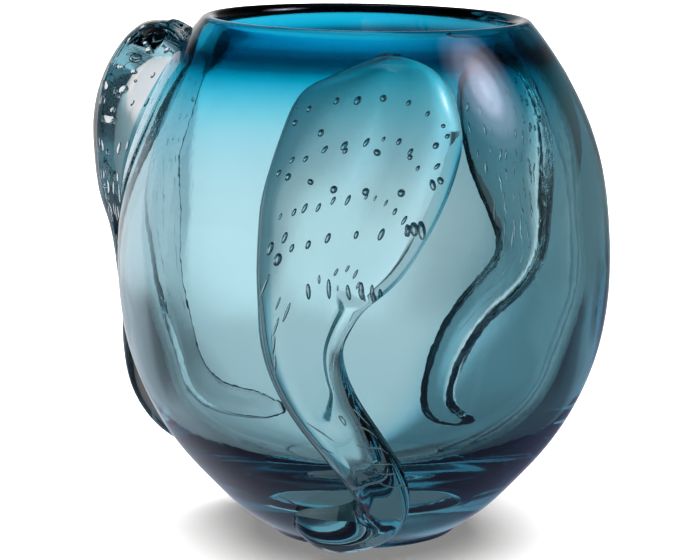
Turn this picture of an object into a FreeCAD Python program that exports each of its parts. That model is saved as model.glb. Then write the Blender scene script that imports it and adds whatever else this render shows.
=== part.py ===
import FreeCAD, Part
import math, os

# Hand blown art glass vase: a thick-walled teal body with three clear glass
# trails ("tentacles") laid on its outside at about a third of a turn apart.
# Millimetres. +Z is up, the front is -Y, and the origin is the middle of the
# flat ground foot on which the vase stands.

# ------------------------------------------------------------ driving sizes
HEIGHT = 300.0            # foot to the crest of the rim
FOOT_R = 50.0             # radius of the ground flat under the base
RIM_OUT_R = 93.0          # outside of the lip
RIM_IN_R = 80.5           # inside of the lip
RIM_SLANT = 0.018         # the lip runs down to the right by this slope
RIM_ROUND = 5.0           # fire-polished rounding of the lip
FLOOR_Z = 36.0            # inside floor of the vessel above the foot
EMBED = 9.0               # how far a trail is carried into the body before it
                          # is trimmed back to the body's own surface
SHOULDER_P = 2.4          # how square the cross-section of a trail is

# outer lathe profile of the body, (z, radius)
OUTER = [(4.0, 56.0), (12.0, 68.3), (28.0, 85.9), (50.0, 105.8), (80.0, 125.3),
         (115.0, 138.0), (150.0, 142.4), (185.0, 141.4), (220.0, 136.0),
         (250.0, 125.2), (275.0, 111.4), (292.0, 99.5), (300.0, RIM_OUT_R),
         (308.0, 86.0)]
# inner lathe profile, (z, radius): heavy at the base, 13-14 mm at the rim
INNER = [(FLOOR_Z, 14.0), (37.2, 30.0), (40.5, 50.0), (47.0, 66.0),
         (57.0, 84.0), (71.0, 100.0), (90.0, 112.5), (115.0, 121.5),
         (150.0, 127.8), (185.0, 127.2), (220.0, 122.0), (250.0, 111.4),
         (275.0, 97.8), (292.0, 86.2), (300.0, RIM_IN_R), (308.0, 74.5)]

# centre line of each trail from head to tip:
# (turn about Z in degrees, 0 = front and + to the right, height on the body,
#  half width, thickness, how much thicker the right side is than the left)
TRAILS = {
    "tentacle_front": [
        (6.4, 283.5, 9.0, 10.0, 0.1), (6.0, 277.5, 24.0, 18.0, 0.2), (5.2, 269.0, 37.0, 23.0, 0.25),
        (3.5, 258.0, 45.8, 25.0, 0.25), (1.5, 245.0, 48.6, 24.5, 0.2), (-1.2, 229.0, 48.6, 22.5, 0.12),
        (-4.4, 211.0, 46.9, 20.5, 0.05), (-7.7, 191.5, 42.6, 19.5, 0.0), (-10.8, 172.0, 34.0, 19.0, 0.0),
        (-12.3, 156.8, 28.2, 19.5, 0.0), (-13.0, 143.2, 24.8, 20.0, 0.0), (-12.5, 129.5, 22.5, 20.0, 0.0),
        (-10.6, 114.7, 20.6, 20.0, 0.0), (-7.2, 98.7, 19.0, 20.0, 0.0), (-2.7, 82.4, 17.8, 20.0, 0.0),
        (1.6, 67.0, 17.0, 20.0, 0.0), (4.4, 55.1, 16.2, 21.0, 0.0), (4.7, 44.8, 14.6, 21.5, 0.0),
        (1.0, 35.6, 12.6, 21.5, 0.0), (-5.8, 30.6, 11.7, 21.0, 0.0), (-12.6, 28.7, 10.6, 19.5, 0.0),
        (-19.1, 27.9, 8.6, 15.5, 0.0), (-24.4, 26.8, 5.0, 9.0, 0.0)],
    "tentacle_left": [
        (-99.4, 288.0, 10.0, 14.0, 0.0), (-99.8, 282.0, 27.0, 24.0, 0.0), (-100.8, 272.5, 41.0, 29.5, 0.0),
        (-102.2, 259.0, 50.0, 30.5, 0.0), (-103.5, 243.0, 53.0, 28.0, 0.0), (-105.0, 225.0, 51.0, 22.5, -0.05),
        (-106.6, 207.0, 45.5, 18.0, -0.1), (-108.4, 190.0, 38.0, 14.5, -0.2), (-109.8, 173.0, 32.0, 12.5, -0.25),
        (-110.6, 157.0, 28.5, 12.0, -0.3), (-111.2, 142.0, 26.0, 12.0, -0.3), (-111.5, 127.0, 23.6, 12.5, -0.3),
        (-110.6, 112.0, 21.5, 14.5, -0.2), (-108.8, 97.0, 19.8, 16.5, -0.1), (-107.8, 82.0, 18.2, 18.0, 0.0),
        (-109.6, 68.0, 17.0, 18.5, 0.0), (-114.8, 57.5, 15.8, 18.0, 0.0), (-122.4, 51.0, 14.8, 17.0, 0.0),
        (-131.0, 47.0, 14.2, 16.0, 0.0), (-138.8, 44.4, 12.4, 14.0, 0.0), (-144.2, 43.2, 7.5, 8.5, 0.0)],
    "tentacle_right": [
        (127.0, 272.0, 9.0, 10.0, 0.0), (127.4, 266.0, 24.0, 18.0, 0.0), (128.2, 257.5, 36.5, 22.5, 0.0),
        (129.6, 246.0, 44.5, 24.0, 0.0), (131.0, 231.0, 47.5, 23.0, 0.0), (132.4, 213.0, 46.8, 21.0, 0.0),
        (133.2, 195.0, 43.2, 19.5, 0.0), (133.0, 178.5, 37.2, 18.5, 0.0), (132.7, 165.0, 31.0, 18.0, 0.0),
        (132.8, 153.0, 26.0, 18.0, 0.0), (134.2, 140.5, 22.2, 18.0, 0.0), (137.4, 127.5, 19.6, 18.0, 0.0),
        (142.6, 113.5, 18.0, 18.0, 0.0), (147.0, 99.5, 17.2, 18.0, 0.0), (150.2, 84.0, 16.2, 18.0, 0.0),
        (152.4, 68.0, 15.0, 18.5, 0.0), (152.8, 55.0, 14.0, 19.0, 0.0), (150.4, 44.5, 12.8, 20.0, 0.0),
        (145.0, 37.6, 11.8, 20.0, 0.0), (138.4, 34.4, 10.4, 18.0, 0.0), (132.2, 33.6, 8.0, 13.0, 0.0),
        (127.8, 33.2, 4.6, 7.0, 0.0)],
}


class Spline:
    """A natural cubic spline through (x, y) knots."""

    def __init__(self, xs, ys):
        n = len(xs)
        self.x, self.y = list(xs), list(ys)
        h = [xs[i + 1] - xs[i] for i in range(n - 1)]
        a, b, c, d = [0.0] * n, [1.0] * n, [0.0] * n, [0.0] * n
        for i in range(1, n - 1):
            a[i], b[i], c[i] = h[i - 1], 2 * (h[i - 1] + h[i]), h[i]
            d[i] = 6 * ((ys[i + 1] - ys[i]) / h[i] - (ys[i] - ys[i - 1]) / h[i - 1])
        for i in range(1, n):
            m = a[i] / b[i - 1]
            b[i] -= m * c[i - 1]
            d[i] -= m * d[i - 1]
        self.m = [0.0] * n
        self.m[-1] = d[-1] / b[-1]
        for i in range(n - 2, -1, -1):
            self.m[i] = (d[i] - c[i] * self.m[i + 1]) / b[i]

    def __call__(self, t):
        x, y, m = self.x, self.y, self.m
        i = 0
        while i < len(x) - 2 and t > x[i + 1]:
            i += 1
        h = x[i + 1] - x[i]
        u, v = (x[i + 1] - t) / h, (t - x[i]) / h
        return u * y[i] + v * y[i + 1] + ((u ** 3 - u) * m[i] + (v ** 3 - v) * m[i + 1]) * h * h / 6


outer_r = Spline([z for z, r in OUTER], [r for z, r in OUTER])


def body_radius(z):
    """Radius of the outside of the body at height z."""
    if z < 4.0:
        return FOOT_R + (OUTER[0][1] - FOOT_R) * math.sqrt(max(z, 0.0) / 4.0)
    return outer_r(z)


def on_body(turn, z, lift=0.0):
    """Point on the body's outside at a turn (degrees) and height, with its normal."""
    t = math.radians(turn)
    r = body_radius(z)
    slope = (body_radius(z + 0.2) - body_radius(z - 0.2)) / 0.4
    k = 1 / math.hypot(1, slope)
    n = FreeCAD.Vector(math.sin(t) * k, -math.cos(t) * k, -slope * k)
    return FreeCAD.Vector(r * math.sin(t), -r * math.cos(t), z) + n * lift, n


# ------------------------------------------------------------------ the body
def curve(points):
    c = Part.BSplineCurve()
    c.interpolate([FreeCAD.Vector(*p) for p in points])
    return c.toShape()


out_pts = [(r, 0, z) for z, r in OUTER]
inn_pts = [(r, 0, z) for z, r in INNER]
top_z = OUTER[-1][0]


def line(a, b):
    return Part.makeLine(FreeCAD.Vector(*a), FreeCAD.Vector(*b))


outer_edges = [line((0, 0, 0), (FOOT_R, 0, 0)),
               Part.Arc(FreeCAD.Vector(FOOT_R, 0, 0), FreeCAD.Vector(FOOT_R + 3.9, 0, 1.4),
                        FreeCAD.Vector(OUTER[0][1], 0, OUTER[0][0])).toShape(),
               curve(out_pts), line(out_pts[-1], (0, 0, top_z)), line((0, 0, top_z), (0, 0, 0))]
solid_body = Part.Face(Part.Wire(outer_edges)).revolve(FreeCAD.Vector(0, 0, 0), FreeCAD.Vector(0, 0, 1), 360)
inner_edges = [line((0, 0, FLOOR_Z), inn_pts[0]), curve(inn_pts),
               line(inn_pts[-1], (0, 0, top_z)), line((0, 0, top_z), (0, 0, FLOOR_Z))]
cavity = Part.Face(Part.Wire(inner_edges)).revolve(FreeCAD.Vector(0, 0, 0), FreeCAD.Vector(0, 0, 1), 360)
vessel = solid_body.cut(cavity)

# the mouth is sheared off on a slight slope and then fire polished round
lid = Part.makeBox(400, 400, 60, FreeCAD.Vector(-200, -200, 0))
lid.rotate(FreeCAD.Vector(0, 0, 0), FreeCAD.Vector(0, 1, 0), math.degrees(math.atan(RIM_SLANT)))
lid.translate(FreeCAD.Vector(0, 0, HEIGHT))
vessel = vessel.cut(lid)
rim = [e for e in vessel.Edges if e.BoundBox.ZMin > HEIGHT - 6 and e.Length > 200]
body = vessel.makeFillet(RIM_ROUND, rim)
body = body.Solids[0] if body.Solids else body


# --------------------------------------------------------------- the trails
def knots_along(rows):
    """Splines of turn, height, half width and thickness along a trail's length."""
    s = [0.0]
    for a, b in zip(rows, rows[1:]):
        s.append(s[-1] + (on_body(b[0], b[1])[0] - on_body(a[0], a[1])[0]).Length)
    return s, [Spline(s, [row[i] for row in rows]) for i in range(5)]


def section(at, splines):
    """A closed flat section across a trail: rounded above, carried into the body below."""
    turn, z, half, thick, skew = [f(at) for f in splines]
    c, n = on_body(turn, z)
    p, _ = on_body(splines[0](at - 0.4), splines[1](at - 0.4))
    q, _ = on_body(splines[0](at + 0.4), splines[1](at + 0.4))
    along = q - p
    along = along - n * along.dot(n)
    along.normalize()
    across = along.cross(n)

    def depth(x):
        """How far the body's surface lies below the flat through c, x to the side."""
        d = 0.0
        for _ in range(25):
            pt = c + across * x + n * d
            err = math.hypot(pt.x, pt.y) - body_radius(pt.z)
            d -= err * 0.9
        return d

    pts = []
    count = 15
    for i in range(count):
        a = math.pi * i / (count - 1)
        x = -math.cos(a)
        x = math.copysign(abs(x) ** 0.9, x)
        h = max(1 - abs(x) ** SHOULDER_P, 0.0) ** (1 / SHOULDER_P)
        pts.append(c + across * (half * x) + n * (depth(half * x) + thick * h * (1 - skew * x)))
    low = min(EMBED, 4 + half)
    for x in (0.88, 0.45, 0.0, -0.45, -0.88):
        pts.append(c + across * (half * x) + n * (depth(half * x) - low * (1.0 if abs(x) < 0.8 else 0.75)))
    b = Part.BSplineCurve()
    b.interpolate(pts, PeriodicFlag=True)
    return Part.Wire(b.toShape())


def trail(rows):
    s, splines = knots_along(rows)
    first, last = s[0], s[-1]
    stations = []
    for a, b in zip(s, s[1:]):
        stations.append(a)
    stations.append(last)
    wires = [section(t, splines) for t in stations]
    loft = Part.makeLoft(wires, True, False)
    return loft


nodes = {"body": body}
for name, rows in TRAILS.items():
    shape = trail(rows).cut(solid_body)
    solids = sorted(shape.Solids, key=lambda x: x.Volume)
    nodes[name] = solids[-1]

os.makedirs("parts", exist_ok=True)
for name, shape in nodes.items():
    shape.exportStep("parts/%s.step" % name)
    box = shape.BoundBox
    print(name, shape.ShapeType, "valid", shape.isValid(), "solids", len(shape.Solids),
          "volume %.0f" % shape.Volume, "z %.1f %.1f" % (box.ZMin, box.ZMax),
          "x %.1f %.1f" % (box.XMin, box.XMax), "y %.1f %.1f" % (box.YMin, box.YMax))
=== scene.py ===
"""Hand blown art glass vase: a heavy teal vessel with three clear glass trails fused on its outside.

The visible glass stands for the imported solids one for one: the body and each of the three
trails.  Profiles and centre lines repeat the part's own numbers (millimetres, +Z up, the front
is -Y); everything is turned into metres when the meshes are made.
"""
import math
import bpy
import numpy as np
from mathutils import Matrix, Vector


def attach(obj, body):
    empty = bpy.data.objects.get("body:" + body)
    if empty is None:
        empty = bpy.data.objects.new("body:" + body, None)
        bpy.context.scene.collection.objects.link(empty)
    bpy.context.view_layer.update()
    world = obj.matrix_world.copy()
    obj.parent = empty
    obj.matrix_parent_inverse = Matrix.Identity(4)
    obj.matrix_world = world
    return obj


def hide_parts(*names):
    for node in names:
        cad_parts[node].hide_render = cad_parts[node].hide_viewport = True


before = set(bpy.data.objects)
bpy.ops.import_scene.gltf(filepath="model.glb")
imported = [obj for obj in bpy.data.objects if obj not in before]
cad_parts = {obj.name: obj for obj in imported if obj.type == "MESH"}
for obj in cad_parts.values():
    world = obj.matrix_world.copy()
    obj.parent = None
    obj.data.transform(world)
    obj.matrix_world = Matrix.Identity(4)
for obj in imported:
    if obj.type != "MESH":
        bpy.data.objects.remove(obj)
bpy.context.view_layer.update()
scene = bpy.context.scene
MM = 0.001

# ------------------------------------------------------------------ the part's own numbers
FOOT_R, FLOOR_Z = 50.0, 36.0
RIM_SLANT, RIM_ROUND = 0.018, 5.0
OUTER = [(4.0, 56.0), (12.0, 68.3), (28.0, 85.9), (50.0, 105.8), (80.0, 125.3),
         (115.0, 138.0), (150.0, 142.4), (185.0, 141.4), (220.0, 136.0),
         (250.0, 125.2), (275.0, 111.4), (292.0, 99.5), (300.0, 93.0), (308.0, 86.0)]
INNER = [(36.0, 14.0), (37.2, 30.0), (40.5, 50.0), (47.0, 66.0),
         (57.0, 84.0), (71.0, 100.0), (90.0, 112.5), (115.0, 121.5),
         (150.0, 127.8), (185.0, 127.2), (220.0, 122.0), (250.0, 111.4),
         (275.0, 97.8), (292.0, 86.2), (300.0, 80.5), (308.0, 74.5)]
# (turn in degrees, height, half width, thickness, how much thicker one side is)
TRAILS = {
    "tentacle_front": [
        (6.4, 283.5, 9.0, 10.0, 0.1), (6.0, 277.5, 24.0, 18.0, 0.2), (5.2, 269.0, 37.0, 23.0, 0.25),
        (3.5, 258.0, 45.8, 25.0, 0.25), (1.5, 245.0, 48.6, 24.5, 0.2), (-1.2, 229.0, 48.6, 22.5, 0.12),
        (-4.4, 211.0, 46.9, 20.5, 0.05), (-7.7, 191.5, 42.6, 19.5, 0.0), (-10.8, 172.0, 34.0, 19.0, 0.0),
        (-12.3, 156.8, 28.2, 19.5, 0.0), (-13.0, 143.2, 24.8, 20.0, 0.0), (-12.5, 129.5, 22.5, 20.0, 0.0),
        (-10.6, 114.7, 20.6, 20.0, 0.0), (-7.2, 98.7, 19.0, 20.0, 0.0), (-2.7, 82.4, 17.8, 20.0, 0.0),
        (1.6, 67.0, 17.0, 20.0, 0.0), (4.4, 55.1, 16.2, 21.0, 0.0), (4.7, 44.8, 14.6, 21.5, 0.0),
        (1.0, 35.6, 12.6, 21.5, 0.0), (-5.8, 30.6, 11.7, 21.0, 0.0), (-12.6, 28.7, 10.6, 19.5, 0.0),
        (-19.1, 27.9, 8.6, 15.5, 0.0), (-24.4, 26.8, 5.0, 9.0, 0.0)],
    "tentacle_left": [
        (-99.4, 288.0, 10.0, 14.0, 0.0), (-99.8, 282.0, 27.0, 24.0, 0.0), (-100.8, 272.5, 41.0, 29.5, 0.0),
        (-102.2, 259.0, 50.0, 30.5, 0.0), (-103.5, 243.0, 53.0, 28.0, 0.0), (-105.0, 225.0, 51.0, 22.5, -0.05),
        (-106.6, 207.0, 45.5, 18.0, -0.1), (-108.4, 190.0, 38.0, 14.5, -0.2), (-109.8, 173.0, 32.0, 12.5, -0.25),
        (-110.6, 157.0, 28.5, 12.0, -0.3), (-111.2, 142.0, 26.0, 12.0, -0.3), (-111.5, 127.0, 23.6, 12.5, -0.3),
        (-110.6, 112.0, 21.5, 14.5, -0.2), (-108.8, 97.0, 19.8, 16.5, -0.1), (-107.8, 82.0, 18.2, 18.0, 0.0),
        (-109.6, 68.0, 17.0, 18.5, 0.0), (-114.8, 57.5, 15.8, 18.0, 0.0), (-122.4, 51.0, 14.8, 17.0, 0.0),
        (-131.0, 47.0, 14.2, 16.0, 0.0), (-138.8, 44.4, 12.4, 14.0, 0.0), (-144.2, 43.2, 7.5, 8.5, 0.0)],
    "tentacle_right": [
        (127.0, 272.0, 9.0, 10.0, 0.0), (127.4, 266.0, 24.0, 18.0, 0.0), (128.2, 257.5, 36.5, 22.5, 0.0),
        (129.6, 246.0, 44.5, 24.0, 0.0), (131.0, 231.0, 47.5, 23.0, 0.0), (132.4, 213.0, 46.8, 21.0, 0.0),
        (133.2, 195.0, 43.2, 19.5, 0.0), (133.0, 178.5, 37.2, 18.5, 0.0), (132.7, 165.0, 31.0, 18.0, 0.0),
        (132.8, 153.0, 26.0, 18.0, 0.0), (134.2, 140.5, 22.2, 18.0, 0.0), (137.4, 127.5, 19.6, 18.0, 0.0),
        (142.6, 113.5, 18.0, 18.0, 0.0), (147.0, 99.5, 17.2, 18.0, 0.0), (150.2, 84.0, 16.2, 18.0, 0.0),
        (152.4, 68.0, 15.0, 18.5, 0.0), (152.8, 55.0, 14.0, 19.0, 0.0), (150.4, 44.5, 12.8, 20.0, 0.0),
        (145.0, 37.6, 11.8, 20.0, 0.0), (138.4, 34.4, 10.4, 18.0, 0.0), (132.2, 33.6, 8.0, 13.0, 0.0),
        (127.8, 33.2, 4.6, 7.0, 0.0)],
}
SHORT = {"tentacle_front": "front", "tentacle_left": "left", "tentacle_right": "right"}


# ------------------------------------------------------------------ curves and the body's surface
class Spline:
    """A natural cubic spline through knots, for arrays of positions."""

    def __init__(self, xs, ys):
        x, y = np.array(xs, float), np.array(ys, float)
        n = len(x)
        h = np.diff(x)
        A, d = np.eye(n), np.zeros(n)
        for i in range(1, n - 1):
            A[i, i - 1:i + 2] = h[i - 1], 2 * (h[i - 1] + h[i]), h[i]
            d[i] = 6 * ((y[i + 1] - y[i]) / h[i] - (y[i] - y[i - 1]) / h[i - 1])
        self.x, self.y, self.h, self.m = x, y, h, np.linalg.solve(A, d)

    def __call__(self, t):
        t = np.asarray(t, float)
        i = np.clip(np.searchsorted(self.x, t, side="right") - 1, 0, len(self.h) - 1)
        h = self.h[i]
        u, v = (self.x[i + 1] - t) / h, (t - self.x[i]) / h
        return (u * self.y[i] + v * self.y[i + 1]
                + ((u ** 3 - u) * self.m[i] + (v ** 3 - v) * self.m[i + 1]) * h * h / 6)


outer_spline = Spline([p[0] for p in OUTER], [p[1] for p in OUTER])
inner_s = np.concatenate([[0], np.cumsum(np.hypot(*np.diff(np.array(INNER), axis=0).T))])
inner_z, inner_r = Spline(inner_s, [p[0] for p in INNER]), Spline(inner_s, [p[1] for p in INNER])


def sway(turn, z):
    """Slow unevenness of the blown outer wall, in mm (turn in radians)."""
    fade = np.clip((z - 8) / 50, 0, 1) * np.clip((296 - z) / 40, 0, 1)
    return fade * (0.16 * np.sin(2 * turn + 0.8 + z * 0.012) + 0.10 * np.sin(3 * turn - 1.1 - z * 0.021)
                   + 0.06 * np.sin(5 * turn + z * 0.043))


def body_radius(z, turn):
    """Radius of the outside of the body at height z, turn in radians."""
    z = np.asarray(z, float)
    low = FOOT_R + (OUTER[0][1] - FOOT_R) * np.sqrt(np.clip(z, 0, 4) / 4.0)
    return np.where(z < 4, low, outer_spline(np.maximum(z, 4.0))) + sway(turn, z)


def on_body(turn_deg, z):
    """Points on the body's outside with their outward normals."""
    t = np.radians(turn_deg)
    r = body_radius(z, t)
    slope = (body_radius(z + 0.2, t) - body_radius(z - 0.2, t)) / 0.4
    k = 1 / np.hypot(1, slope)
    n = np.stack([np.sin(t) * k, -np.cos(t) * k, -slope * k], -1)
    return np.stack([r * np.sin(t), -r * np.cos(t), z], -1), n


def depth_on(c, across, n, x):
    """How far the body's surface lies along n below c + across * x."""
    d = np.zeros(np.broadcast(x, c[..., 0]).shape)
    for _ in range(30):
        p = c + across * x[..., None] + n * d[..., None]
        d = d - 0.9 * (np.hypot(p[..., 0], p[..., 1]) - body_radius(p[..., 2], np.arctan2(p[..., 0], -p[..., 1])))
    return d


# ------------------------------------------------------------------ mesh helper
def make_object(name, verts, faces, material_index=None, materials=()):
    """A smooth-shaded mesh object from points in mm."""
    me = bpy.data.meshes.new(name)
    me.from_pydata((np.asarray(verts) * MM).tolist(), [], faces)
    me.polygons.foreach_set("use_smooth", [True] * len(me.polygons))
    for m in materials:
        me.materials.append(m)
    if material_index is not None:
        me.polygons.foreach_set("material_index", material_index)
    me.validate()
    me.update()
    ob = bpy.data.objects.new(name, me)
    scene.collection.objects.link(ob)
    return ob


# ------------------------------------------------------------------ materials
def node(nt, kind, **settings):
    n = nt.nodes.new(kind)
    for k, v in settings.items():
        setattr(n, k, v)
    return n


def fresh(name):
    m = bpy.data.materials.new(name)
    m.use_nodes = True
    m.node_tree.nodes.clear()
    return m, m.node_tree


def glass_bump(nt, coord, fine, broad, strength):
    """The faint ripple of fire-polished glass."""
    broad_n = node(nt, "ShaderNodeTexNoise")
    broad_n.inputs["Scale"].default_value = broad
    broad_n.inputs["Detail"].default_value = 1.0
    fine_n = node(nt, "ShaderNodeTexNoise")
    fine_n.inputs["Scale"].default_value = fine
    fine_n.inputs["Detail"].default_value = 2.0
    stretch = node(nt, "ShaderNodeMapping")
    stretch.inputs["Scale"].default_value = (1.0, 1.0, 0.55)
    nt.links.new(coord, stretch.inputs["Vector"])
    nt.links.new(stretch.outputs[0], broad_n.inputs["Vector"])
    nt.links.new(stretch.outputs[0], fine_n.inputs["Vector"])
    add = node(nt, "ShaderNodeMath", operation="MULTIPLY_ADD")
    add.inputs[1].default_value = 0.12
    nt.links.new(fine_n.outputs["Fac"], add.inputs[0])
    nt.links.new(broad_n.outputs["Fac"], add.inputs[2])
    bump = node(nt, "ShaderNodeBump")
    bump.inputs["Strength"].default_value = strength
    bump.inputs["Distance"].default_value = 0.0006
    nt.links.new(add.outputs[0], bump.inputs["Height"])
    return bump.outputs["Normal"]


# colour of the glass by height (metres), on top of the colour of the glass itself: deeper teal towards the lip, and a
# near-black band 274 to 290 mm up that is painted shade under the rim
BASE = (0.739, 0.864, 0.894)
TINT_AND_RIM_SHADE = [(0.000, (1.0, 1.0, 1.0)), (0.200, (1.0, 1.0, 1.0)), (0.220, (0.93, 0.99, 1.0)),
        (0.239, (0.76, 0.95, 1.0)), (0.247, (0.66, 0.93, 1.0)), (0.254, (0.48, 0.88, 0.96)),
        (0.262, (0.26, 0.78, 0.90)), (0.268, (0.10, 0.66, 0.82)), (0.274, (0.001, 0.46, 0.62)),
        (0.279, (0.001, 0.08, 0.14)), (0.285, (0.001, 0.07, 0.14)), (0.290, (0.002, 0.44, 0.68)),
        (0.296, (0.02, 0.54, 0.78)), (0.302, (0.02, 0.40, 0.62))]
TINT_AND_RIM_SHADE = [(z, tuple(a * b for a, b in zip(c, BASE))) for z, c in TINT_AND_RIM_SHADE]


def body_glass():
    m, nt = fresh("teal_glass")
    out = node(nt, "ShaderNodeOutputMaterial")
    bsdf = node(nt, "ShaderNodeBsdfPrincipled")
    bsdf.inputs["Transmission Weight"].default_value = 1.0
    bsdf.inputs["Roughness"].default_value = 0.0
    coord = node(nt, "ShaderNodeTexCoord").outputs["Object"]
    xyz = node(nt, "ShaderNodeSeparateXYZ")
    nt.links.new(coord, xyz.inputs[0])
    drift = node(nt, "ShaderNodeTexNoise")
    drift.inputs["Scale"].default_value = 9.0
    drift.inputs["Detail"].default_value = 2.0
    nt.links.new(coord, drift.inputs["Vector"])
    wander = node(nt, "ShaderNodeMath", operation="MULTIPLY_ADD")
    wander.inputs[1].default_value = 0.005
    nt.links.new(drift.outputs["Fac"], wander.inputs[0])
    nt.links.new(xyz.outputs["Z"], wander.inputs[2])
    level = node(nt, "ShaderNodeMapRange")
    level.inputs["From Min"].default_value = 0.2025
    level.inputs["From Max"].default_value = 0.3045
    nt.links.new(wander.outputs[0], level.inputs["Value"])
    # the glass colour by height, including the painted shade band just under the rim
    ramp = node(nt, "ShaderNodeValToRGB")
    stops = [(max((z - 0.200) / 0.102, 0.0), c) for z, c in TINT_AND_RIM_SHADE if z >= 0.2]
    el = ramp.color_ramp.elements
    el[0].position, el[0].color = stops[0][0], (*stops[0][1], 1)
    el[1].position, el[1].color = stops[-1][0], (*stops[-1][1], 1)
    for p, c in stops[1:-1]:
        e = el.new(p)
        e.color = (*c, 1)
    nt.links.new(level.outputs[0], ramp.inputs[0])
    nt.links.new(ramp.outputs["Color"], bsdf.inputs["Base Color"])
    # where a trail is fused on, the glass runs through with no surface between
    near = node(nt, "ShaderNodeAttribute", attribute_name="seam_mm")
    free = node(nt, "ShaderNodeMath", operation="GREATER_THAN")
    free.inputs[1].default_value = 0.0
    nt.links.new(near.outputs["Fac"], free.inputs[0])
    ior = node(nt, "ShaderNodeMapRange")
    ior.inputs["To Min"].default_value = 1.0
    ior.inputs["To Max"].default_value = 1.5
    nt.links.new(free.outputs[0], ior.inputs["Value"])
    nt.links.new(ior.outputs[0], bsdf.inputs["IOR"])
    nt.links.new(glass_bump(nt, coord, 150.0, 22.0, 0.35), bsdf.inputs["Normal"])
    vol = node(nt, "ShaderNodeVolumeAbsorption")
    vol.inputs["Color"].default_value = (0.1875, 0.6075, 0.7025, 1)
    vol.inputs["Density"].default_value = 16.0
    nt.links.new(bsdf.outputs[0], out.inputs["Surface"])
    nt.links.new(vol.outputs[0], out.inputs["Volume"])
    return m


def trail_glass():
    m, nt = fresh("clear_glass")
    out = node(nt, "ShaderNodeOutputMaterial")
    bsdf = node(nt, "ShaderNodeBsdfPrincipled")
    bsdf.inputs["Transmission Weight"].default_value = 1.0
    bsdf.inputs["Roughness"].default_value = 0.0
    bsdf.inputs["IOR"].default_value = 1.5
    coord = node(nt, "ShaderNodeTexCoord").outputs["Object"]
    cloud = node(nt, "ShaderNodeTexNoise")
    cloud.inputs["Scale"].default_value = 30.0
    nt.links.new(coord, cloud.inputs["Vector"])
    ramp = node(nt, "ShaderNodeValToRGB")
    ramp.color_ramp.elements[0].color = (0.93, 0.975, 0.985, 1)
    ramp.color_ramp.elements[1].color = (1.0, 1.0, 1.0, 1)
    nt.links.new(cloud.outputs["Fac"], ramp.inputs[0])
    nt.links.new(ramp.outputs["Color"], bsdf.inputs["Base Color"])
    nt.links.new(glass_bump(nt, coord, 170.0, 30.0, 0.5), bsdf.inputs["Normal"])
    nt.links.new(bsdf.outputs[0], out.inputs["Surface"])
    return m


def seam_glass():
    m, nt = fresh("fused_seam")
    out = node(nt, "ShaderNodeOutputMaterial")
    bsdf = node(nt, "ShaderNodeBsdfPrincipled")
    bsdf.inputs["Transmission Weight"].default_value = 1.0
    bsdf.inputs["Roughness"].default_value = 0.0
    bsdf.inputs["IOR"].default_value = 1.0
    bsdf.inputs["Base Color"].default_value = (1, 1, 1, 1)
    nt.links.new(bsdf.outputs[0], out.inputs["Surface"])
    return m


TEAL, CLEAR, SEAM = body_glass(), trail_glass(), seam_glass()

# ------------------------------------------------------------------ the trails
SINK = 0.4      # mm that a trail's underside lies inside the body


class Trail:
    def __init__(self, rows):
        rows = np.array(rows)
        pts, _ = on_body(rows[:, 0], rows[:, 1])
        self.s = np.concatenate([[0], np.cumsum(np.linalg.norm(np.diff(pts, axis=0), axis=1))])
        self.f = [Spline(self.s, rows[:, i]) for i in range(5)]
        self.length = self.s[-1]

    def frame_at(self, at):
        """Centre, normal and sideways direction at a distance along the trail."""
        inside = np.clip(at, 0, self.length)
        turn, z = self.f[0](inside), self.f[1](inside)
        c, n = on_body(turn, z)
        lo, hi = np.clip(inside - 0.4, 0, None), np.clip(inside + 0.4, None, self.length)
        along = on_body(self.f[0](hi), self.f[1](hi))[0] - on_body(self.f[0](lo), self.f[1](lo))[0]
        along -= n * np.sum(along * n, -1)[..., None]
        along /= np.linalg.norm(along, axis=-1)[..., None]
        c = c + along * (at - inside)[..., None]
        return c, n, along, np.cross(along, n)

    def point(self, at, x, lift):
        """Point in the trail: x in mm to the side, lift in mm above the body's surface."""
        at, x, lift = (np.asarray(v, float) for v in (at, x, lift))
        c, n, along, across = self.frame_at(at)
        d = depth_on(c, across, n, x)
        return c + across * x[..., None] + n * (d + lift)[..., None]

    def size(self, at):
        return [f(np.clip(at, 0, self.length)) for f in self.f[2:]]


# how each trail's section is shaped: squareness on the right and left side (seen from outside),
# how far the foot is tucked in under the right side, the left side and the head, in mm
SHAPE = {"tentacle_front": (4.6, 2.0, 3.0, 4.0, 3.0), "tentacle_left": (5.0, 1.12, 1.0, 1.0, 2.0),
         "tentacle_right": (3.2, 1.8, 2.5, 1.0, 3.0)}


# the raised left head falls away faster on its far side than on its near side
NARROW = {"tentacle_front": 0.0, "tentacle_left": 0.42, "tentacle_right": 0.0}


def squeeze(name, at, side):
    """Side offsets with the left side (seen from outside) drawn in near the head."""
    return np.where(side > 0, side * (1 - NARROW[name] * (1 - smooth(at, 80, 150))), side)


def smooth(v, lo_, hi_):
    t = np.clip((v - lo_) / (hi_ - lo_), 0, 1)
    return t * t * (3 - 2 * t)


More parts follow.
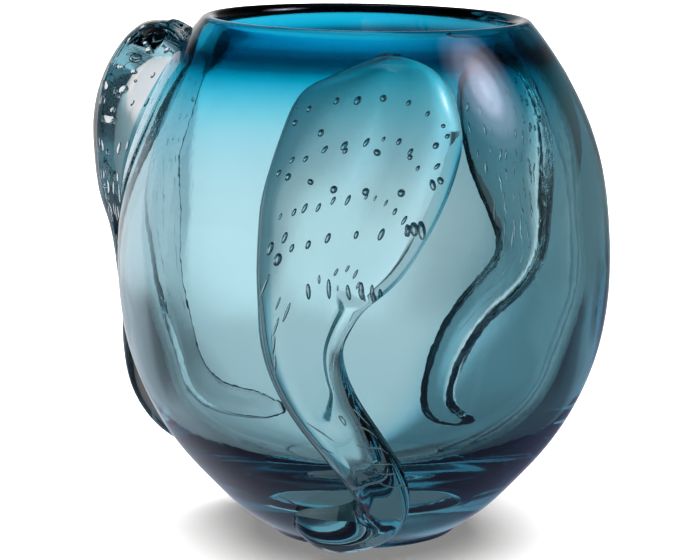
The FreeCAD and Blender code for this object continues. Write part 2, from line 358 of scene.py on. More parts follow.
def build_trail(name, rows, bubbles):
    tr = Trail(rows)
    p_right, p_left, tuck_right, tuck_left, tuck_head = SHAPE[name]
    step = 1.6
    body_at = np.linspace(0, tr.length, int(tr.length / step) + 1)
    h0, t0, _ = tr.size(np.array(0.0))
    h1, t1, _ = tr.size(np.array(tr.length))
    cap0, cap1 = 0.45 * h0, 0.75 * h1
    phi = np.radians(np.linspace(6, 84, 9))
    at = np.concatenate([-cap0 * np.cos(phi), body_at, tr.length + cap1 * np.cos(phi[::-1])])
    grow = np.concatenate([np.sin(phi), np.ones(len(body_at)), np.sin(phi[::-1])])
    half, thick, skew = tr.size(at)
    half, thick = half * grow, thick * grow
    a = np.pi * np.arange(45) / 44
    pw = np.where(np.cos(a) > 0, p_right, p_left)
    x = -np.sign(np.cos(a)) * np.abs(np.cos(a)) ** (2 / pw)
    h = np.sin(a).clip(0) ** (2 / pw)
    if name == "tentacle_left":
        h = np.where(x > 0, 0.86 * h + 0.14 * (1 - np.abs(x) ** 7).clip(0) ** (1 / 7), h)     # a rounded, not a knife-thin, edge
    h[0] = h[-1] = 0.0
    tuck = (1 - np.clip(h / 0.5, 0, 1)) ** 2
    under = np.linspace(1, -1, 17)
    X = np.concatenate([x, under])                       # once round: over the top, then back below
    M, K = len(at), len(X)
    at2 = np.repeat(at[:, None], K, 1)
    side = half[:, None] * X[None, :]
    # the foot is tucked in: less where the trail is slim
    slim = np.clip(half / 30.0, 0.25, 1)[:, None]
    inward = np.concatenate([np.where(x < 0, tuck_right, -tuck_left)[None, :] * tuck[None, :] * slim,
                             np.zeros((M, len(under)))], 1)
    foot_w = half[:, None] + np.zeros((M, K))
    foot_l, foot_r = (half[:, None] - tuck_left * slim), (half[:, None] - tuck_right * slim)
    side[:, len(x):] = np.where(under[None, :] > 0, foot_l * under[None, :], foot_r * under[None, :])
    side = squeeze(name, at2, side + inward)
    head = (1 - smooth(at, 0.0, 45.0))[:, None]
    at2 = at2 + head * tuck_head * np.concatenate([np.repeat(tuck[None, :], M, 0), np.ones((M, len(under)))], 1)
    lift = np.concatenate([thick[:, None] * h[None, :] * (1 - skew[:, None] * x[None, :]),
                           np.full((M, len(under)), -SINK)], 1)
    # hand-drawn unevenness of the top
    wav = (0.12 * np.sin(at2 * 0.075 + 1.3) + 0.05 * np.sin(at2 * 0.13 + X[None, :] * 2.1)
           + 0.008 * np.sin(at2 * 0.29 - X[None, :] * 3.0))
    lift = lift + np.where(lift > 0, wav * np.clip(lift / 12, 0, 1), 0)
    if name == "tentacle_front":
        # the glass was folded over itself here and left a cord along the right edge
        edge = 0.70 - 0.45 * smooth(at2, 182, 200) - 0.25 * (1 - smooth(at2, 118, 134))
        fold = smooth(-X[None, :] - edge, -0.07, 0.05) * smooth(at2, 120, 130) * (1 - smooth(at2, 192, 212))
        lift = lift + np.where(lift > 0, 3.2 * fold * np.clip(lift / 10, 0, 1), 0)
    P = tr.point(at2, side, lift)
    verts = P.reshape(-1, 3)
    faces, slots = [], []
    dome = len(x)
    for j in range(M - 1):
        for k in range(K):
            k2 = (k + 1) % K
            faces.append((j * K + k, (j + 1) * K + k, (j + 1) * K + k2, j * K + k2))
            slots.append(0 if k < dome - 1 else 1)
    # closing fans at both ends
    ends = tr.point(np.array([-cap0 + tuck_head, tr.length + cap1]), np.zeros(2), np.zeros(2))
    verts = np.concatenate([verts, ends])
    p0, p1 = M * K, M * K + 1
    for k in range(K):
        k2 = (k + 1) % K
        faces.append((p0, k, k2))
        slots.append(0 if k < dome - 1 else 1)
        faces.append((p1, (M - 1) * K + k2, (M - 1) * K + k))
        slots.append(0 if k < dome - 1 else 1)
    outline = np.concatenate([P[:, 0], [ends[1]], P[::-1, dome - 1], [ends[0]]])
    # the air bubbles: closed cavities, so their normals look into the air
    vs, n0 = [verts], len(verts)
    for at_b, x_b, lift_b, along_r, side_r, lean in bubbles:
        c, n, along, across = tr.frame_at(np.array(float(at_b)))
        centre = tr.point(np.array(float(at_b)), np.array(float(x_b)), np.array(float(lift_b)))
        ax = along * math.cos(lean) + across * math.sin(lean)
        ay = across * math.cos(lean) - along * math.sin(lean)
        lat, lon = 9, 14
        th = np.pi * np.arange(1, lat) / lat
        ph = 2 * np.pi * np.arange(lon) / lon
        ring = [centre + ax * along_r]
        for t in th:
            for p in ph:
                ring.append(centre + ax * (along_r * math.cos(t)) + ay * (side_r * math.sin(t) * math.cos(p))
                            + n * (side_r * math.sin(t) * math.sin(p)))
        ring.append(centre - ax * along_r)
        ring = np.array(ring)
        vs.append(ring)
        sub = []
        for i in range(lat - 2):
            for p in range(lon):
                q = (p + 1) % lon
                sub.append((1 + i * lon + p, 1 + i * lon + q, 1 + (i + 1) * lon + q, 1 + (i + 1) * lon + p))
        for p in range(lon):
            q = (p + 1) % lon
            sub.append((0, q + 1, p + 1))
            last = 1 + (lat - 2) * lon
            sub.append((last + p, last + q, last + lon))
        # orient: the cavity's normals point to its own centre
        f0 = sub[lon]
        v0 = ring[list(f0)]
        nn = np.cross(v0[1] - v0[0], v0[2] - v0[0])
        if np.dot(nn, v0.mean(0) - centre) > 0:
            sub = [tuple(reversed(f)) for f in sub]
        # the two fans are checked on their own
        for f in sub:
            w = ring[list(f)]
            nn = np.cross(w[1] - w[0], w[2] - w[0])
            if np.dot(nn, w.mean(0) - centre) > 0:
                f = tuple(reversed(f))
            faces.append(tuple(n0 + i for i in f))
            slots.append(0)
        n0 += len(ring)
    verts = np.concatenate(vs)
    # the sweep itself must be wound outward
    m = M // 2
    quad = P[m, 22], P[m + 1, 22], P[m + 1, 23]
    nn = np.cross(quad[1] - quad[0], quad[2] - quad[0])
    _, n_mid, _, _ = tr.frame_at(np.array(float(at[m])))
    count = (M - 1) * K + 2 * K
    if np.dot(nn, n_mid) < 0:
        faces[:count] = [tuple(reversed(f)) for f in faces[:count]]
    ob = make_object(SHORT[name] + "_trail", verts, faces, slots, (CLEAR, SEAM))
    return ob, outline, tr


# air bubbles: (distance along the trail, to the side, lift, half length, half width, lean), in mm
# and radians; each row was picked up from one ring of the spiked mould
def row(points, along_r, side_r, lean=0.0):
    out = []
    for i, p in enumerate(points):
        k = 1.0 + 0.16 * math.sin(i * 2.4 + len(points))
        size = p[3] if len(p) > 3 else 1.0
        out.append((p[0], p[1], p[2], along_r * k * size, side_r * size * (1.0 + 0.10 * math.sin(i * 1.7)),
                    lean + 0.12 * math.sin(i * 3.1)))
    return out


def thread(a, b, radius):
    """A thin straight air thread from a to b."""
    (a0, a1, a2), (b0, b1, b2) = a, b
    length = math.hypot(b0 - a0, b1 - a1)
    return ((a0 + b0) / 2, (a1 + b1) / 2, (a2 + b2) / 2, length / 2, radius, math.atan2(b1 - a1, b0 - a0))


FRONT = (
    row([(49, 39.5, 7.0, 1.1), (40, 40.9, 6.3, 0.5), (39, 34.1, 8.2), (33, 21.0, 10.4, 1.15), (31, 10.6, 11.7, 1.1),
         (27, -1.3, 12.5, 1.1), (26, -14.4, 13.0, 0.8), (28, -24.6, 12.6, 0.7), (31, -32.7, 11.6, 0.6),
         (35, -35.5, 11.1, 0.6), (41, -32.3, 11.6, 1.0)], 2.1, 1.55, 0.35)
    + row([(80, 37.4, 7.0), (71, 33.2, 8.1, 0.8), (68, 26.6, 9.3), (60, 19.0, 10.4), (55, 10.3, 11.3, 1.1),
           (57, 9.0, 9.4, 0.9), (50, 0.5, 12.0), (46, -7.3, 12.5, 0.7), (45, -15.1, 12.7, 0.9),
           (47.5, -21.9, 12.3, 0.8), (53, -27.8, 11.6, 0.8), (49, -35.6, 10.6, 0.8)], 2.4, 1.25, 0.3)
    + row([(52, 23.9, 10.1), (53, -6.3, 12.1, 1.1), (49.5, -22.4, 10.3, 0.8), (80, 31.7, 8.2, 1.1), (78, 19.5, 9.7),
           (77, 7.1, 10.4), (72, -8.2, 10.9, 1.2), (66, -24.7, 10.7, 1.2)], 1.9, 1.7, 0.2)
    + row([(57, -36.6, 9.7), (54, -38.8, 9.4, 0.9)], 2.6, 1.5, -0.5)
    + row([(95, 21.2, 9.1), (91, 17.0, 9.5), (88, 10.7, 9.9), (82, 5.2, 10.2), (79, -1.4, 10.5), (74, -9.4, 9.6, 0.7),
           (73, -13.9, 10.7, 0.6), (73, -19.7, 10.5, 0.7), (75, -25.3, 10.0, 0.9), (77, -31.0, 9.2, 0.9),
           (100, 27.0, 7.6, 0.8)], 2.7, 1.0, 0.1)
    + row([(117, 25.3, 7.8, 1.3), (120, 19.3, 8.6, 1.5), (109, 20.4, 8.5, 1.0), (112, 14.8, 9.3, 0.9), (107, 8.0, 9.6, 0.9),
           (100, 0.4, 9.8, 0.9), (93, -12.3, 9.9, 0.95), (88, -23.6, 9.4, 1.1), (81, -34.5, 8.3, 1.1)], 2.9, 1.35, 0.0)
    + row([(81, -34.5, 9.6), (79, -36.6, 8.0, 1.3), (78, -39.5, 7.0, 1.3)], 3.3, 1.5, -0.45)
    + row([(114, -10.6, 9.4), (110, -15.1, 9.3, 0.8), (111, -19.8, 8.9), (116, -23.1, 8.3)], 2.6, 0.8, 0.1)
    + row([(121, -4.1, 9.4, 0.8), (129, -0.9, 9.5, 1.3), (124, -10.5, 9.2, 1.4), (122, -14.5, 8.8, 0.6),
           (123, -20.1, 8.4, 1.3), (119, -25.5, 7.6, 1.5), (121, -26.5, 6.6, 1.2), (118, -30.3, 6.5, 1.3),
           (120, -31.3, 6.0, 1.2), (117, -33.3, 5.3, 1.1)], 3.4, 0.95, -0.35)
    + row([(133, 21.5, 6.6, 1.4), (142, 7.0, 9.6, 1.0), (139, 12.2, 9.0, 0.9), (150, 11.0, 9.0, 1.0),
           (158, 11.5, 9.0, 1.0), (166, 11.8, 8.6, 1.0)], 5.0, 0.7, 0.15)
    + [thread((176, 12.6, 8.4), (150, 12.0, 8.8), 0.30),
       thread((195, 7.7, 9.5), (212, 1.7, 10.0), 0.34), thread((206, 11.9, 8.5), (218, 5.6, 9.8), 0.34),
       thread((200, -10.6, 8.9), (216, -15.0, 6.6), 0.34), thread((207, -8.6, 9.4), (224, -14.5, 7.2), 0.30),
       thread((218, -5.3, 9.8), (235, -14.0, 7.0), 0.34), thread((226, -2.3, 9.9), (243, -12.6, 7.8), 0.30),
       thread((232, -2.3, 9.9), (247, -10.6, 8.5), 0.34), thread((237, 0.5, 9.9), (262, -12.6, 7.4), 0.34)]
)


def scattered(name, seed, rings, streaks):
    """Rows of bubbles across a trail with hand-made irregularity, then long streaks further down."""
    rng = np.random.default_rng(seed)
    tr = Trail(TRAILS[name])
    out = []
    far = 0.46 if name == "tentacle_right" else 0.82     # the right trail's outer flank is clean glass
    for at, count, along_r, side_r in rings:
        for x in np.linspace(-0.82, far, count):
            x = x + rng.uniform(-0.06, 0.06)
            s = at + 9.0 * (abs(x) ** 1.6) + rng.uniform(-2.2, 2.2)
            half, thick, skew = tr.size(np.array(s))
            p = SHAPE[name][1 if x > 0 else 0]
            h = (1 - abs(x) ** p) ** (1 / p)
            k = rng.uniform(0.6, 1.15)
            lift = float(thick) * h * (1 - float(skew) * x) * rng.uniform(0.42, 0.58)
            r = min(side_r * k, lift * 0.5)
            out.append((s, float(squeeze(name, s, x * float(half))), lift, max(along_r * k * rng.uniform(0.9, 1.3), r), r,
                        rng.uniform(-0.25, 0.25)))
    for at, count, along_r, side_r in streaks:
        for x in np.linspace(-0.72, min(far, 0.72), count):
            x = x + rng.uniform(-0.08, 0.08)
            s = at + rng.uniform(-7, 7)
            half, thick, skew = tr.size(np.array(s))
            p = SHAPE[name][1 if x > 0 else 0]
            h = (1 - abs(x) ** p) ** (1 / p)
            lift = float(thick) * h * (1 - float(skew) * x) * rng.uniform(0.40, 0.62)
            r = min(side_r * rng.uniform(0.7, 1.1), lift * 0.4)
            out.append((s, float(squeeze(name, s, x * float(half))), lift, along_r * rng.uniform(0.7, 1.3), r,
                        rng.uniform(-0.12, 0.12)))
    return out


BUBBLES = {
    "tentacle_front": FRONT,
    "tentacle_left": scattered("tentacle_left", 11,
                               [(18, 4, 1.2, 1.0), (30, 5, 1.5, 1.2), (44, 6, 1.6, 1.2), (58, 6, 1.9, 1.1),
                                (72, 6, 2.2, 1.0), (86, 6, 2.6, 0.9)],
                               [(98, 5, 4.5, 0.6), (112, 5, 6.0, 0.5), (128, 4, 8.0, 0.5), (150, 3, 10.0, 0.5),
                                (176, 3, 11.0, 0.4)]),
    "tentacle_right": scattered("tentacle_right", 23,
                                [(22, 7, 2.0, 1.3), (34, 8, 2.6, 1.3), (46, 8, 3.0, 1.2), (58, 9, 3.4, 1.1),
                                 (72, 8, 3.8, 0.9)],
                                [(88, 7, 5.5, 0.8), (102, 6, 7.0, 0.8), (118, 5, 8.0, 0.7), (134, 5, 9.0, 0.6),
                                 (152, 4, 10.0, 0.6), (174, 4, 11.0, 0.5), (196, 3, 11.0, 0.5)]),
}
outlines = []
for trail_name, trail_rows in TRAILS.items():
    ob, outline, tr = build_trail(trail_name, trail_rows, BUBBLES[trail_name])
    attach(ob, "root")
    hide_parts(trail_name)
    outlines.append(outline)


# ------------------------------------------------------------------ the body
def wall_profile(top):
    """Half section of the vessel as (r, z) rows, from the foot's middle round to the floor's middle."""
    foot = [(r, 0.0) for r in (0.0, 12.0, 24.0, 34.0, 42.0, 47.0, 50.0)]
    arc = [(FOOT_R + 6 * math.sin(a), 4 * (1 - math.cos(a))) for a in np.radians([22, 45, 67])]
    h = 1e-3
    z = np.linspace(280, 300, 4001)
    ro, dro = outer_spline(z), (outer_spline(z + h) - outer_spline(z - h)) / (2 * h)
    k = 1 / np.hypot(1, dro)
    i = np.argmin(np.abs(z + RIM_ROUND * dro * k - (top - RIM_ROUND)))
    zo, no = z[i], (k[i], -dro[i] * k[i])
    co = (ro[i] - RIM_ROUND * no[0], top - RIM_ROUND)
    s = np.linspace(inner_s[-4], inner_s[-1], 6001)
    zi, ri = inner_z(s), inner_r(s)
    dz, dr = np.gradient(zi), np.gradient(ri)
    ln = np.hypot(dz, dr)
    ni_r, ni_z = -dz / ln, dr / ln
    j = np.argmin(np.abs(zi - RIM_ROUND * ni_z - (top - RIM_ROUND)))
    ci = (ri[j] - RIM_ROUND * ni_r[j], top - RIM_ROUND)
    zs = 4.0 + (zo - 4.0) * (np.linspace(0, 1, 180))
    outside = [(float(outer_spline(v)), float(v)) for v in zs]
    a0 = math.atan2(no[1], no[0])
    lip = [(co[0] + RIM_ROUND * math.cos(a), co[1] + RIM_ROUND * math.sin(a)) for a in np.linspace(a0, math.pi / 2, 9)[1:]]
    a1 = math.atan2(ni_z[j], ni_r[j])
    if a1 < 0:
        a1 += 2 * math.pi
    lip += [(ci[0] + RIM_ROUND * math.cos(a), ci[1] + RIM_ROUND * math.sin(a)) for a in np.linspace(math.pi / 2, a1, 16)[:-1]]
    sj = s[j]
    inside = [(float(inner_r(v)), float(inner_z(v))) for v in np.linspace(sj, inner_s[0], 130)]
    floor = [(r, FLOOR_Z) for r in (9.0, 4.5, 0.0)]
    return np.array(foot + arc + outside + lip + inside + floor), len(foot) + len(arc) + len(outside)


def inner_sway(turn, z, r):
    fade = np.clip((292 - z) / 40, 0, 1) * np.clip((r - 12) / 60, 0, 1)
    return fade * (0.22 * np.sin(2 * turn + 2.1 - z * 0.018) + 0.17 * np.sin(3 * turn + 0.4 + z * 0.027)
                   + 0.10 * np.sin(6 * turn - 0.7 + z * 0.05) + 0.05 * np.sin(11 * turn + 1.9 - z * 0.09))


SEG = 480
turns = 2 * np.pi * np.arange(SEG) / SEG
tops = np.linspace(298.0, 302.0, 17)
profiles = np.array([wall_profile(t)[0] for t in tops])
n_out = wall_profile(300.0)[1]
top_at = 300.0 - RIM_SLANT * 90.4 * np.sin(turns)
w = (top_at - tops[0]) / (tops[1] - tops[0])
i0 = np.clip(w.astype(int), 0, len(tops) - 2)
w = (w - i0)[:, None, None]
rows = profiles[i0] * (1 - w) + profiles[i0 + 1] * w          # (segment, row, (r, z))
rows = rows.transpose(1, 0, 2)
R, Z = rows[..., 0].copy(), rows[..., 1].copy()
N = len(R)
T = np.repeat(turns[None, :], N, 0)
R[1:n_out] += sway(T[1:n_out], Z[1:n_out])
R[n_out:-1] += inner_sway(T[n_out:-1], Z[n_out:-1], R[n_out:-1])
pts = np.stack([R * np.sin(T), -R * np.cos(T), Z], -1)
verts = [pts[0, 0]]
verts = np.concatenate([pts[0, :1], pts[1:-1].reshape(-1, 3), pts[-1, :1]])
faces = []
last = 1 + (N - 2) * SEG
for k in range(SEG):
    k2 = (k + 1) % SEG
    faces.append((0, 1 + k2, 1 + k))
    faces.append((last, last - SEG + k, last - SEG + k2))
for j in range(N - 3):
    a, b = 1 + j * SEG, 1 + (j + 1) * SEG
    for k in range(SEG):
        k2 = (k + 1) % SEG
        faces.append((a + k, a + k2, b + k2, b + k))
# outward winding, tested on one face of the outer wall
f = faces[2 * SEG + 90 * SEG]
v = verts[list(f)]
nn = np.cross(v[1] - v[0], v[2] - v[0])
if nn[0] * v[:, 0].mean() + nn[1] * v[:, 1].mean() < 0:
    faces = [tuple(reversed(f)) for f in faces]
body = make_object("body_glass", verts, faces, None, (TEAL,))

# signed distance from each outside vertex to the nearest trail's outline
seam = np.full(len(verts), 30.0)
out_idx = np.arange(1, 1 + (n_out - 1) * SEG)
V = verts[out_idx]
vt, vz = np.arctan2(V[:, 0], -V[:, 1]), V[:, 2]
best = np.full(len(V), 30.0)
inside_any = np.zeros(len(V), bool)
for outline in outlines:
    A, B = outline, np.roll(outline, -1, axis=0)
    d2 = np.full(len(V), 1e9)
    for p, q in zip(A, B):
        e = q - p
        L = float(e @ e)
        if L < 1e-12:
            continue
        t = np.clip(((V - p) @ e) / L, 0, 1)
        d2 = np.minimum(d2, ((V - p - t[:, None] * e) ** 2).sum(1))
    at_, az_ = np.arctan2(A[:, 0], -A[:, 1]), A[:, 2]
    bt_, bz_ = np.roll(at_, -1), np.roll(az_, -1)
    inside = np.zeros(len(V), bool)
    for x0, y0, x1, y1 in zip(at_, az_, bt_, bz_):
        if y0 == y1:
            continue
        cross = ((y0 > vz) != (y1 > vz)) & (vt < (x1 - x0) * (vz - y0) / (y1 - y0) + x0)
        inside ^= cross
    inside_any |= inside
    best = np.minimum(best, np.sqrt(d2))
seam[out_idx] = np.where(inside_any, -best, best)
attr = body.data.attributes.new("seam_mm", "FLOAT", "POINT")
attr.data.foreach_set("value", seam.astype(np.float32))
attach(body, "root")
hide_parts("body")

# ------------------------------------------------------------------ the stage
def plane(name, corners, material):
    me = bpy.data.meshes.new(name)
    me.from_pydata(corners, [], [tuple(range(len(corners)))])
    me.materials.append(material)
    ob = bpy.data.objects.new(name, me)
    scene.collection.objects.link(ob)
    return ob


# pale floor: diffuse, plus a painted glow in the floor itself, 0.24 within 0.8 m of the centre rising to 1.0 from 2.2
# m out, that lightens the vase's shadow and keeps the far floor white
m, nt = fresh("pale_floor")
out = node(nt, "ShaderNodeOutputMaterial")
d = node(nt, "ShaderNodeBsdfDiffuse")
d.inputs["Color"].default_value = (0.9, 0.9, 0.9, 1)
floor_glow = node(nt, "ShaderNodeEmission")
floor_glow.inputs["Color"].default_value = (1.0, 0.99, 0.985, 1)
away = node(nt, "ShaderNodeVectorMath", operation="LENGTH")
nt.links.new(node(nt, "ShaderNodeNewGeometry").outputs["Position"], away.inputs[0])
glow_by_distance = node(nt, "ShaderNodeMapRange", interpolation_type="SMOOTHSTEP")
for i, v in (("From Min", 0.8), ("From Max", 2.2), ("To Min", 0.24), ("To Max", 1.0)):
    glow_by_distance.inputs[i].default_value = v
nt.links.new(away.outputs["Value"], glow_by_distance.inputs["Value"])
nt.links.new(glow_by_distance.outputs[0], floor_glow.inputs["Strength"])
both = node(nt, "ShaderNodeAddShader")
nt.links.new(d.outputs[0], both.inputs[0])
nt.links.new(floor_glow.outputs[0], both.inputs[1])
nt.links.new(both.outputs[0], out.inputs["Surface"])
floor = plane("floor", [(-9, -6, 0), (9, -6, 0), (9, 14, 0), (-9, 14, 0)], m)
floor.visible_glossy = False

# the white sweep round the set, seen by the camera alone
m, nt = fresh("white_sweep")
out = node(nt, "ShaderNodeOutputMaterial")
em = node(nt, "ShaderNodeEmission")
em.inputs["Color"].default_value = (1.0, 1.0, 1.0, 1)
nt.links.new(em.outputs[0], out.inputs["Surface"])
for i in range(24):
    a, b = 2 * math.pi * i / 24, 2 * math.pi * (i + 1) / 24
    (xa, ya), (xb, yb) = (5.0 * math.sin(a), 5.0 * math.cos(a)), (5.0 * math.sin(b), 5.0 * math.cos(b))
    sweep = plane("sweep_%02d" % i, [(xa, ya, -0.05), (xb, yb, -0.05), (xb, yb, 6.0), (xa, ya, 6.0)], m)
    sweep.visible_diffuse = sweep.visible_glossy = sweep.visible_transmission = sweep.visible_shadow = False

# what stands behind the vase is seen only through the glass, as a glowing sheet with painted light and shade: bright
# table to the left and back, a painted contact shadow close round the foot, and the vase's own deep teal shade painted
# falling away to the right
m, nt = fresh("seen_through")
out = node(nt, "ShaderNodeOutputMaterial")
em = node(nt, "ShaderNodeEmission")
pos = node(nt, "ShaderNodeNewGeometry").outputs["Position"]
sx = node(nt, "ShaderNodeSeparateXYZ")
nt.links.new(pos, sx.inputs[0])


def calc(nt, op, a, b=None, clamp=False):
    n = node(nt, "ShaderNodeMath", operation=op, use_clamp=clamp)
    for i, v in enumerate((a, b)):
        if v is None:
            continue
        if isinstance(v, (int, float)):
            n.inputs[i].default_value = v
        else:
            nt.links.new(v, n.inputs[i])
    return n.outputs[0]


def remap(nt, v, stops):
    """Piecewise value of v through (position, value) stops, as a smooth curve."""
    lo_, hi_ = stops[0][0], stops[-1][0]
    r = node(nt, "ShaderNodeMapRange")
    r.inputs["From Min"].default_value = lo_
    r.inputs["From Max"].default_value = hi_
    nt.links.new(v, r.inputs["Value"])
    ramp = node(nt, "ShaderNodeValToRGB")
    ramp.color_ramp.interpolation = "EASE"
    el = ramp.color_ramp.elements
    norm = [((p - lo_) / (hi_ - lo_), c if isinstance(c, tuple) else (c, c, c)) for p, c in stops]
    el[0].position, el[0].color = norm[0][0], (*norm[0][1], 1)
    el[1].position, el[1].color = norm[-1][0], (*norm[-1][1], 1)
    for p, c in norm[1:-1]:
        e = el.new(p)
        e.color = (*c, 1)
    nt.links.new(r.outputs[0], ramp.inputs[0])
    return ramp.outputs["Color"]


bearing = calc(nt, "ARCTAN2", sx.outputs["X"], sx.outputs["Y"])         # 0 straight back, + to the right
radius = calc(nt, "SQRT", calc(nt, "ADD", calc(nt, "MULTIPLY", sx.outputs["X"], sx.outputs["X"]),
                               calc(nt, "MULTIPLY", sx.outputs["Y"], sx.outputs["Y"])))
D = math.radians


def blend(nt, kind, fac, a, b):
    n = node(nt, "ShaderNodeMix", data_type="RGBA", blend_type=kind)
    if isinstance(fac, float):
        n.inputs["Factor"].default_value = fac
    else:
        nt.links.new(fac, n.inputs["Factor"])
    nt.links.new(a, n.inputs["A"])
    nt.links.new(b, n.inputs["B"])
    return n.outputs["Result"]


# painted contact shadow within about 0.2 m of the foot, darkest in front and to the right
close_contact_shadow = remap(nt, bearing, [(D(-180), 0.12), (D(-105), 0.26), (D(-64), 0.40), (D(-43), 0.65), (D(-24), 0.92), (D(0), 1.0),
                            (D(9), 0.92), (D(20), 0.32), (D(34), 0.28), (D(46), 0.30), (D(62), 0.08), (D(180), 0.05)])
middle = remap(nt, bearing, [(D(-180), 0.10), (D(-90), 0.13), (D(-68), 0.11), (D(-57), 0.32), (D(-36), 0.54), (D(-23), 0.95), (D(5), 1.0),
                             (D(14), 0.70), (D(21), 0.38), (D(45), 0.36), (D(53), 0.24), (D(60), 0.08), (D(72), 0.05), (D(180), 0.05)])
distant = remap(nt, bearing, [(D(-180), 0.35), (D(-70), 0.5), (D(-42), 0.80), (D(-28), 1.0), (D(-12), 1.42), (D(0), 1.25),
                              (D(7), 0.72), (D(13), 0.38), (D(24), 0.30), (D(45), 0.26), (D(180), 0.20)])
beyond = remap(nt, bearing, [(D(-180), 0.35), (D(-42), 0.80), (D(-20), 0.30), (D(-14), 0.14), (D(-10), 0.16), (D(-7), 1.1),
                             (D(0), 1.2), (D(7), 0.72), (D(13), 0.38), (D(24), 0.30), (D(45), 0.26), (D(180), 0.20)])
hue = remap(nt, bearing, [(D(-180), (0.95, 1.0, 1.05)), (D(5), (1.04, 1.0, 0.99)), (D(17), (0.60, 0.95, 1.06)), (D(180), (0.62, 0.96, 1.08))])
step_1 = node(nt, "ShaderNodeMapRange", interpolation_type="SMOOTHSTEP")
step_1.inputs["From Min"].default_value, step_1.inputs["From Max"].default_value = 0.17, 0.30
nt.links.new(radius, step_1.inputs["Value"])
step_2 = node(nt, "ShaderNodeMapRange", interpolation_type="SMOOTHSTEP")
step_2.inputs["From Min"].default_value, step_2.inputs["From Max"].default_value = 0.40, 0.70
nt.links.new(radius, step_2.inputs["Value"])
step_3 = node(nt, "ShaderNodeMapRange", interpolation_type="SMOOTHSTEP")
step_3.inputs["From Min"].default_value, step_3.inputs["From Max"].default_value = 3.6, 4.4
nt.links.new(radius, step_3.inputs["Value"])
glow = blend(nt, "MIX", step_2.outputs[0], blend(nt, "MIX", step_1.outputs[0], close_contact_shadow, middle), distant)
glow = blend(nt, "MIX", step_3.outputs[0], glow, beyond)
nt.links.new(blend(nt, "MULTIPLY", 1.0, glow, hue), em.inputs["Color"])
em.inputs["Strength"].default_value = 1.0
nt.links.new(em.outputs[0], out.inputs["Surface"])
shade = plane("seen_through", [(-9, -6, 0.0004), (9, -6, 0.0004), (9, 14, 0.0004), (-9, 14, 0.0004)], m)
shade.visible_camera = False
shade.visible_diffuse = False
shade.visible_glossy = False
shade.visible_shadow = False
shade.visible_volume_scatter = False

world = bpy.data.worlds.new("studio")
scene.world = world
world.use_nodes = True
nt = world.node_tree
nt.nodes.clear()
out = node(nt, "ShaderNodeOutputWorld")
bg = node(nt, "ShaderNodeBackground")
bg.inputs["Color"].default_value = (1.0, 1.0, 1.0, 1)
bg.inputs["Strength"].default_value = 1.0
direction = node(nt, "ShaderNodeTexCoord").outputs["Generated"]
sep = node(nt, "ShaderNodeSeparateXYZ")
nt.links.new(direction, sep.inputs[0])
# by bearing: dark in front, bright to the left, dim to the right; by height: brighter overhead
turn_w = calc(nt, "ARCTAN2", sep.outputs["X"], sep.outputs["Y"])        # 0 straight back, + to the right
around = remap(nt, turn_w, [(D(-180), 0.01), (D(-90), 0.02), (D(-68), 0.20), (D(-52), 0.7), (D(-32), 0.9), (D(-12), 0.85),
                            (D(0), 0.75), (D(9), 0.55), (D(20), 0.14), (D(60), 0.07), (D(100), 0.03), (D(180), 0.01)])
above = remap(nt, sep.outputs["Z"], [(-1.0, 0.15), (-0.45, 0.4), (-0.12, 1.0), (0.12, 1.0), (0.30, 0.30), (0.5, 0.08), (0.8, 0.08),
                                     (0.92, 0.5), (1.0, 0.7)])
upper = remap(nt, turn_w, [(D(-180), 0.01), (D(-60), 0.02), (D(-38), 0.08), (D(-26), 0.7), (D(-12), 1.0), (D(0), 0.6),
                           (D(18), 0.14), (D(60), 0.10), (D(100), 0.05), (D(180), 0.02)])
high = node(nt, "ShaderNodeMapRange", interpolation_type="SMOOTHSTEP")
high.inputs["From Min"].default_value, high.inputs["From Max"].default_value = 0.08, 0.18
nt.links.new(sep.outputs["Z"], high.inputs["Value"])
below = remap(nt, sep.outputs["Z"], [(-1.0, (0.11, 0.14, 0.26)), (-0.30, (0.07, 0.09, 0.19)), (-0.12, (0.0, 0.0, 0.0)), (1.0, (0.0, 0.0, 0.0))])
sky = blend(nt, "MULTIPLY", 1.0, blend(nt, "MIX", high.outputs[0], around, upper), above)
nt.links.new(blend(nt, "ADD", 1.0, sky, below), bg.inputs["Color"])
nt.links.new(bg.outputs[0], out.inputs["Surface"])


def area(name, at, target, size, energy, colour=(1, 1, 1), glossy=True):
    li = bpy.data.lights.new(name, "AREA")
    li.shape = "RECTANGLE"
    li.size, li.size_y = size
    li.energy = energy
    li.color = colour
    ob = bpy.data.objects.new(name, li)
    scene.collection.objects.link(ob)
    ob.location = at
    ob.rotation_euler = (Vector(target) - Vector(at)).to_track_quat("-Z", "Y").to_euler()
    ob.visible_camera = False
    ob.visible_glossy = glossy
    ob.visible_transmission = False
    return ob


area("overhead", (0.0, 1.2, 4.0), (0.0, 1.2, 0.0), (7.0, 7.0), 900.0, glossy=False)

# a small glowing card behind the raised left trail, seen only through its glass: painted light that brightens that
# trail, greying along its inner edge as painted shade for the dark line at the trail's edge
m, nt = fresh("glow_card")
out = node(nt, "ShaderNodeOutputMaterial")
em = node(nt, "ShaderNodeEmission")
at = node(nt, "ShaderNodeSeparateXYZ")
nt.links.new(node(nt, "ShaderNodeNewGeometry").outputs["Position"], at.inputs[0])
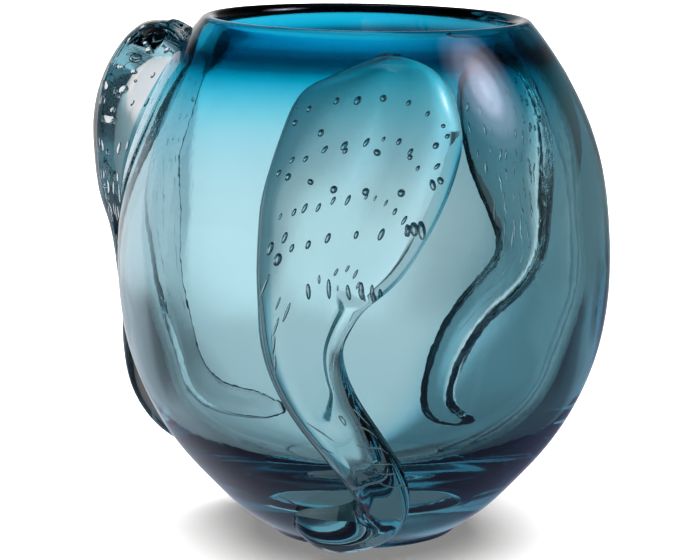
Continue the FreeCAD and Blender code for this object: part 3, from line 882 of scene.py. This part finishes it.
# painted shade: the glow greys towards the card's inner edge before it fades out
card_glow_and_edge_shade = remap(nt, at.outputs["X"], [(-0.30, (1.0, 0.965, 0.99)), (-0.136, (1.0, 0.965, 0.99)), (-0.124, (0.80, 0.83, 0.87)),
                                   (-0.112, (0.75, 0.80, 0.85))])
nt.links.new(card_glow_and_edge_shade, em.inputs["Color"])
em.inputs["Strength"].default_value = 1.0
clear = node(nt, "ShaderNodeBsdfTransparent")
fade_z = node(nt, "ShaderNodeMapRange", interpolation_type="SMOOTHSTEP")
fade_z.inputs["From Min"].default_value, fade_z.inputs["From Max"].default_value = 0.10, 0.17
nt.links.new(at.outputs["Z"], fade_z.inputs["Value"])
fade_x = node(nt, "ShaderNodeMapRange", interpolation_type="SMOOTHSTEP")
fade_x.inputs["From Min"].default_value, fade_x.inputs["From Max"].default_value = -0.116, -0.121
nt.links.new(at.outputs["X"], fade_x.inputs["Value"])
mix = node(nt, "ShaderNodeMixShader")
nt.links.new(calc(nt, "MULTIPLY", fade_z.outputs[0], fade_x.outputs[0]), mix.inputs[0])
nt.links.new(clear.outputs[0], mix.inputs[1])
nt.links.new(em.outputs[0], mix.inputs[2])
nt.links.new(mix.outputs[0], out.inputs["Surface"])
card = plane("glow_card", [(-0.26, -0.030, 0.10), (-0.116, 0.091, 0.10), (-0.116, 0.091, 0.34), (-0.26, -0.030, 0.34)], m)
card.visible_camera = card.visible_diffuse = card.visible_glossy = card.visible_shadow = False

# a soft lamp to the upper right, seen only as the highlight on the shoulder
m, nt = fresh("soft_lamp")
out = node(nt, "ShaderNodeOutputMaterial")
em = node(nt, "ShaderNodeEmission")
local = node(nt, "ShaderNodeTexCoord").outputs["Object"]
fall = node(nt, "ShaderNodeVectorMath", operation="LENGTH")
nt.links.new(local, fall.inputs[0])
soft = remap(nt, fall.outputs["Value"], [(0.0, 1.0), (0.22, 0.72), (0.48, 0.26), (0.75, 0.07), (1.0, 0.0)])
nt.links.new(soft, em.inputs["Strength"])
em.inputs["Color"].default_value = (0.80, 0.80, 1.0, 1)
gain = calc(nt, "MULTIPLY", soft, 14.0)
nt.links.new(gain, em.inputs["Strength"])
nt.links.new(em.outputs[0], out.inputs["Surface"])
lamp = plane("soft_lamp", [(-1, -1, 0), (1, -1, 0), (1, 1, 0), (-1, 1, 0)], m)
lamp.location = (1.058, -0.164, 1.106)
lamp.rotation_euler = (Vector((0.065, -0.095, 0.270)) - lamp.location).to_track_quat("Z", "Y").to_euler()
lamp.scale = (0.48, 0.52, 1.0)
lamp.visible_camera = lamp.visible_diffuse = lamp.visible_transmission = lamp.visible_shadow = False

cam = bpy.data.cameras.new("camera")
cam.sensor_width = 36.0
cam.sensor_fit = "HORIZONTAL"
cam.lens = 18.0 / math.tan(math.radians(15.192 / 2))
cam_ob = bpy.data.objects.new("camera", cam)
scene.collection.objects.link(cam_ob)
cam_ob.location = (0.0, -1.5, 0.4308)
cam_ob.rotation_euler = (math.radians(90 - 10.721), 0.0, math.radians(0.308))
scene.camera = cam_ob

scene.view_settings.view_transform = "Standard"
scene.view_settings.look = "None"
scene.cycles.max_bounces = 32
scene.cycles.transmission_bounces = 32
scene.cycles.glossy_bounces = 16
scene.cycles.diffuse_bounces = 3
scene.cycles.volume_bounces = 0
scene.cycles.transparent_max_bounces = 32
scene.cycles.blur_glossy = 0.0
scene.cycles.caustics_refractive = False
scene.cycles.caustics_reflective = False
